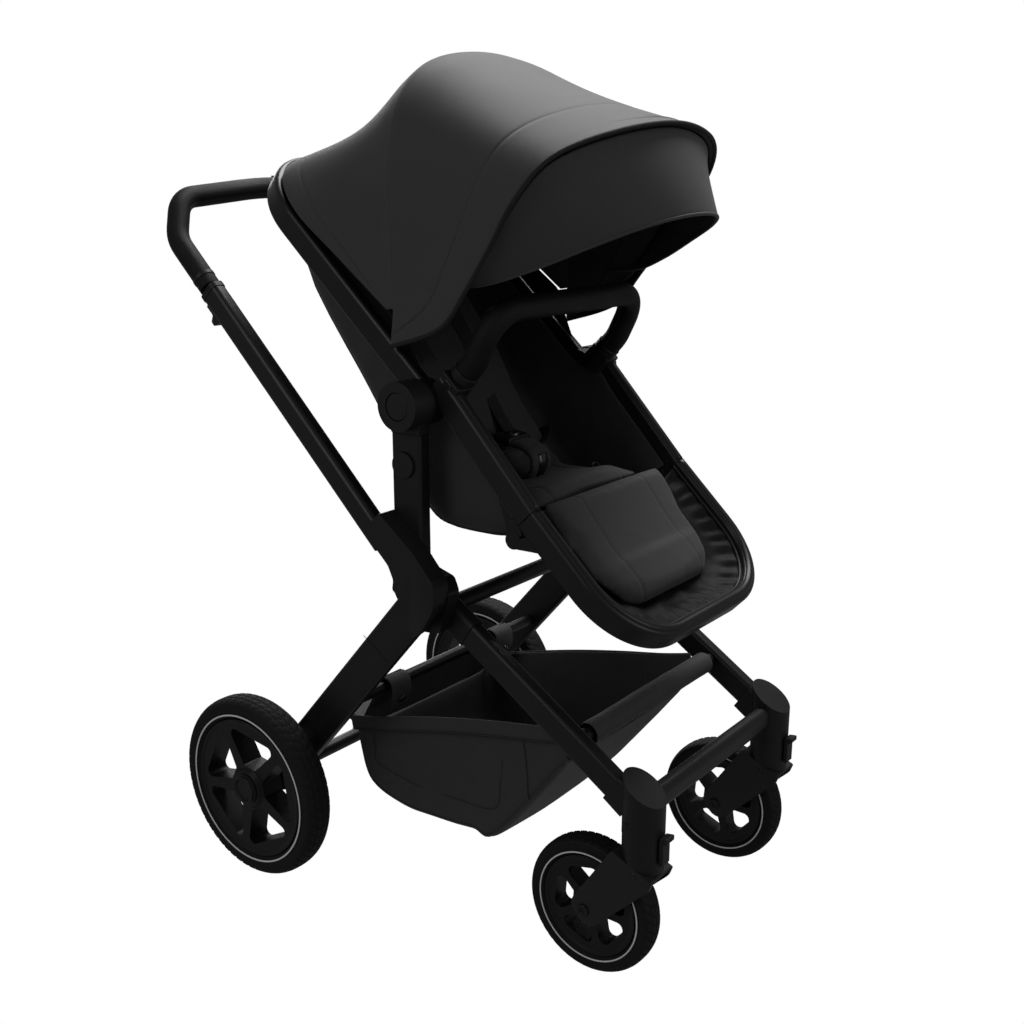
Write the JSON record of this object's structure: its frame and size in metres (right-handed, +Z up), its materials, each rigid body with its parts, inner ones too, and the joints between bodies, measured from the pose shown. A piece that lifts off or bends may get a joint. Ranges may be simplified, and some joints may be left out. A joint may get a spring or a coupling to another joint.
{
  "type": "baby stroller",
  "caption": "Folding baby stroller with a reclining seat unit, hood, bumper bar, shopping basket, swivelling front wheels and an extending push handle.",
  "frame": {"origin": "on the floor, under the middle of the stroller's box", "axes": "+X to the stroller's left, -Y to the front, +Z up"},
  "size_m": [0.618, 0.8663, 1.191],
  "materials": {
    "frame_metal": "fine matte black powder coat",
    "black_plastic": "fine-textured moulded plastic",
    "rim_plastic": "satin black moulding",
    "tyre_rubber": "rubber with fine block tread",
    "bolt_steel": "blackened steel",
    "leatherette": "grained imitation leather",
    "hood_fabric": "fine twill with a soft sheen",
    "seat_fabric": "woven charcoal cloth",
    "basket_fabric": "plain woven cloth",
    "webbing": "ribbed webbing"
  },
  "bodies": {
    "frame": {"front_leg_left": "frame_metal", "front_leg_right": "frame_metal", "caster_housing_left": "black_plastic", "caster_housing_right": "black_plastic", "hinge_casting_left": "black_plastic", "hinge_casting_right": "black_plastic", "seat_post_left": "frame_metal", "seat_post_right": "frame_metal", "handle_outer_tube_left": "frame_metal", "handle_outer_tube_right": "frame_metal", "leg_brackets": "black_plastic", "front_cross_bar": "frame_metal", "upper_cross_tube": "frame_metal", "basket_front_tube": "frame_metal", "basket": "basket_fabric"},
    "rear_frame": {"rear_leg_left": "frame_metal", "rear_leg_right": "frame_metal", "rear_axle_tube": "frame_metal", "basket_rear_tube": "frame_metal", "rear_wheel_axle": "bolt_steel"},
    "brake": {"brake_pedal": "black_plastic"},
    "handle": {"handle_bar": "frame_metal", "handle_grip": "leatherette"},
    "height_button": {"handle_height_button": "black_plastic"},
    "seat_mount": {"seat_adapter_left": "black_plastic", "seat_adapter_right": "black_plastic"},
    "seat": {"seat_frame": "frame_metal", "seat_shell": "seat_fabric", "seat_pad": "seat_fabric", "harness": "webbing", "canopy_rear_shell": "hood_fabric"},
    "leg_rest": {"leg_rest_loop": "frame_metal", "leg_rest_pad": "seat_fabric"},
    "canopy": {"canopy_front_shell": "hood_fabric"},
    "canopy_mid": {"canopy_mid_bow": "black_plastic"},
    "bumper": {"bumper_bar": "leatherette"},
    "rear_wheel_left": {"rear_rim_left": "rim_plastic", "rear_tyre_left": "tyre_rubber", "rear_hub_cap_left": "black_plastic"},
    "caster_left": {"caster_barrel_left": "black_plastic", "caster_fork_left": "black_plastic", "front_axle_bolt_left": "bolt_steel"},
    "front_wheel_left": {"front_rim_left": "rim_plastic", "front_tyre_left": "tyre_rubber"},
    "swivel_lock_left": {"swivel_lock_left": "black_plastic"},
    "fold_trigger_left": {"fold_trigger_left": "black_plastic"},
    "release_button_left": {"seat_release_button_left": "black_plastic"},
    "recline_button_left": {"recline_button_left": "black_plastic"},
    "rear_wheel_right": {"rear_rim_right": "rim_plastic", "rear_tyre_right": "tyre_rubber", "rear_hub_cap_right": "black_plastic"},
    "caster_right": {"caster_barrel_right": "black_plastic", "caster_fork_right": "black_plastic", "front_axle_bolt_right": "bolt_steel"},
    "front_wheel_right": {"front_rim_right": "rim_plastic", "front_tyre_right": "tyre_rubber"},
    "swivel_lock_right": {"swivel_lock_right": "black_plastic"},
    "fold_trigger_right": {"fold_trigger_right": "black_plastic"},
    "release_button_right": {"seat_release_button_right": "black_plastic"},
    "recline_button_right": {"recline_button_right": "black_plastic"}
  },
  "joints": [
    {"name": "chassis_fold", "type": "hinge", "parent": "frame", "child": "rear_frame", "pos_m": [0, -0.0758, 0.488], "axis": [1, 0, 0], "range_deg": [-58, 0], "deforming": ["basket"]},
    {"name": "brake_pedal_hinge", "type": "hinge", "parent": "rear_frame", "child": "brake", "pos_m": [0, 0.2262, 0.14], "axis": [1, 0, 0], "range_deg": [-22, 0]},
    {"name": "handle_extend", "type": "slide", "parent": "frame", "child": "handle", "axis": [0, 0.712, 0.7021], "range_m": [0, 0.1]},
    {"name": "height_button_press", "type": "slide", "parent": "handle", "child": "height_button", "axis": [0, 0, -1], "range_m": [0, 0.003], "stiffness_N_per_m": 400},
    {"name": "rear_wheel_spin_left", "type": "hinge", "parent": "rear_frame", "child": "rear_wheel_left", "pos_m": [0.283, 0.2262, 0.14], "axis": [1, 0, 0], "continuous": true},
    {"name": "caster_swivel_left", "type": "hinge", "parent": "frame", "child": "caster_left", "pos_m": [0.181, -0.3918, 0.223], "axis": [0, 0, 1], "continuous": true},
    {"name": "front_wheel_spin_left", "type": "hinge", "parent": "caster_left", "child": "front_wheel_left", "pos_m": [0.181, -0.3198, 0.0956], "axis": [1, 0, 0], "continuous": true},
    {"name": "swivel_lock_slide_left", "type": "slide", "parent": "caster_left", "child": "swivel_lock_left", "axis": [0, 0, 1], "range_m": [0, 0.005]},
    {"name": "fold_trigger_pull_left", "type": "slide", "parent": "frame", "child": "fold_trigger_left", "axis": [0, -0.712, -0.7021], "range_m": [0, 0.009], "stiffness_N_per_m": 300},
    {"name": "release_button_press_left", "type": "slide", "parent": "frame", "child": "release_button_left", "axis": [-1, 0, 0], "range_m": [0, 0.003], "stiffness_N_per_m": 400},
    {"name": "recline_button_press_left", "type": "slide", "parent": "seat_mount", "child": "recline_button_left", "axis": [-1, 0, 0], "range_m": [0, 0.005], "stiffness_N_per_m": 400},
    {"name": "rear_wheel_spin_right", "type": "hinge", "parent": "rear_frame", "child": "rear_wheel_right", "pos_m": [-0.283, 0.2262, 0.14], "axis": [1, 0, 0], "continuous": true},
    {"name": "caster_swivel_right", "type": "hinge", "parent": "frame", "child": "caster_right", "pos_m": [-0.181, -0.3918, 0.223], "axis": [0, 0, 1], "continuous": true},
    {"name": "front_wheel_spin_right", "type": "hinge", "parent": "caster_right", "child": "front_wheel_right", "pos_m": [-0.181, -0.3198, 0.0956], "axis": [1, 0, 0], "continuous": true},
    {"name": "swivel_lock_slide_right", "type": "slide", "parent": "caster_right", "child": "swivel_lock_right", "axis": [0, 0, 1], "range_m": [0, 0.005]},
    {"name": "fold_trigger_pull_right", "type": "slide", "parent": "frame", "child": "fold_trigger_right", "axis": [0, -0.712, -0.7021], "range_m": [0, 0.009], "stiffness_N_per_m": 300},
    {"name": "release_button_press_right", "type": "slide", "parent": "frame", "child": "release_button_right", "axis": [1, 0, 0], "range_m": [0, 0.003], "stiffness_N_per_m": 400},
    {"name": "recline_button_press_right", "type": "slide", "parent": "seat_mount", "child": "recline_button_right", "axis": [1, 0, 0], "range_m": [0, 0.005], "stiffness_N_per_m": 400},
    {"name": "seat_lift_off", "type": "slide", "parent": "frame", "child": "seat_mount", "axis": [0, 0, 1], "range_m": [0, 0.08]},
    {"name": "seat_tilt", "type": "hinge", "parent": "seat_mount", "child": "seat", "pos_m": [0, -0.0378, 0.741], "axis": [1, 0, 0], "range_deg": [-25, 8]},
    {"name": "leg_rest_hinge", "type": "hinge", "parent": "seat", "child": "leg_rest", "pos_m": [0, -0.1918, 0.577], "axis": [1, 0, 0], "range_deg": [0, 25]},
    {"name": "canopy_fold", "type": "hinge", "parent": "seat", "child": "canopy", "pos_m": [0, -0.0018, 0.85], "axis": [1, 0, 0], "range_deg": [-76, 0], "deforming": ["canopy_rear_shell"]},
    {"name": "canopy_mid_fold", "type": "hinge", "parent": "seat", "child": "canopy_mid", "pos_m": [0, -0.0018, 0.85], "axis": [1, 0, 0], "range_deg": [-38, 0]},
    {"name": "bumper_pull_out", "type": "slide", "parent": "seat", "child": "bumper", "axis": [0, -0.6947, 0.7193], "range_m": [0, 0.05]}
  ],
  "couplings": [
    {"joint": "canopy_mid_fold", "follows": "canopy_fold", "ratio": 0.5}
  ]
}
